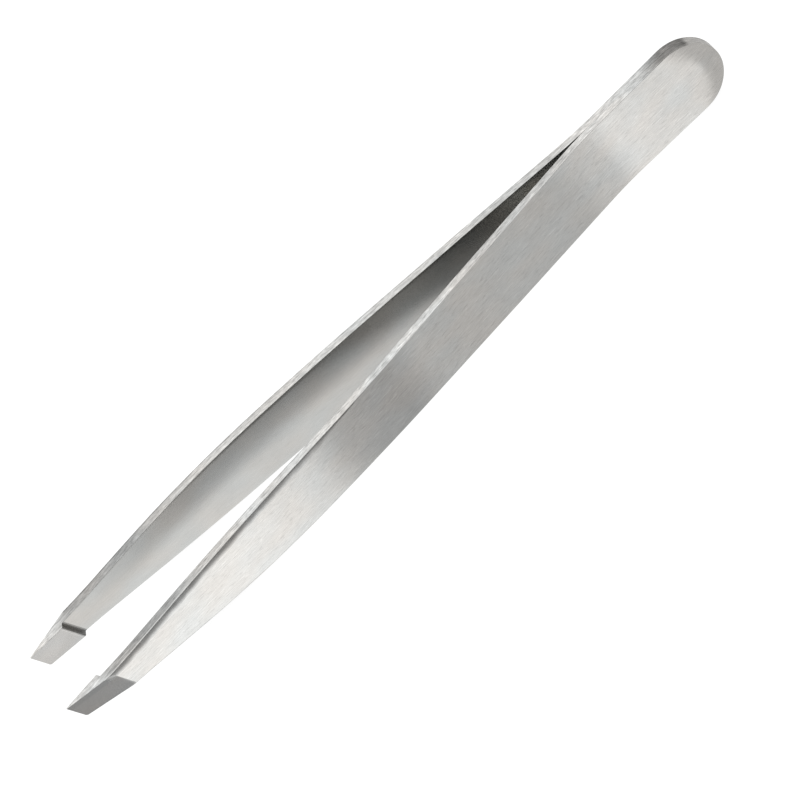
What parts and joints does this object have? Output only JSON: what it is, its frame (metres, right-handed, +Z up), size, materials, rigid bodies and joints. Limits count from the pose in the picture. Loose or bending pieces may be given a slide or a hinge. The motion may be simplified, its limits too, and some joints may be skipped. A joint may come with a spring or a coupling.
{
  "type": "slant tweezers",
  "caption": "Spring-steel slant tweezers: flat tapered arms welded at the tail, bowed apart and closed by finger pressure onto slanted gripping pads.",
  "frame": {"origin": "middle of the tweezers' bounding box, on the surface that the lower long edges of the arms rest on", "axes": "+X along the length towards the welded tail, so the jaws are at -X; +Y the way the right arm opens, with the left arm at -Y; +Z up, across the width of the blanks"},
  "size_m": [0.095, 0.0122, 0.0093],
  "materials": {
    "brushed_steel": "stainless steel, finely brushed along the length",
    "weld_steel": "fused stainless steel inside the joint"
  },
  "bodies": {
    "welded_heel": {"left_heel": "brushed_steel", "right_heel": "brushed_steel", "front_weld_nugget": "weld_steel", "rear_weld_nugget": "weld_steel"},
    "left_arm": {"left_arm": "brushed_steel"},
    "right_arm": {"right_arm": "brushed_steel"}
  },
  "joints": [
    {"name": "left_arm_flex", "type": "hinge", "parent": "welded_heel", "child": "left_arm", "pos_m": [0.0235, -0.00121, 0.00436], "axis": [0, 0, -1], "range_deg": [0, 3.7], "stiffness_Nm_per_rad": 3},
    {"name": "right_arm_flex", "type": "hinge", "parent": "welded_heel", "child": "right_arm", "pos_m": [0.0235, 0.00121, 0.00436], "axis": [0, 0, 1], "range_deg": [0, 3.7], "stiffness_Nm_per_rad": 3}
  ],
  "couplings": [
    {"joint": "right_arm_flex", "follows": "left_arm_flex", "ratio": 1}
  ]
}
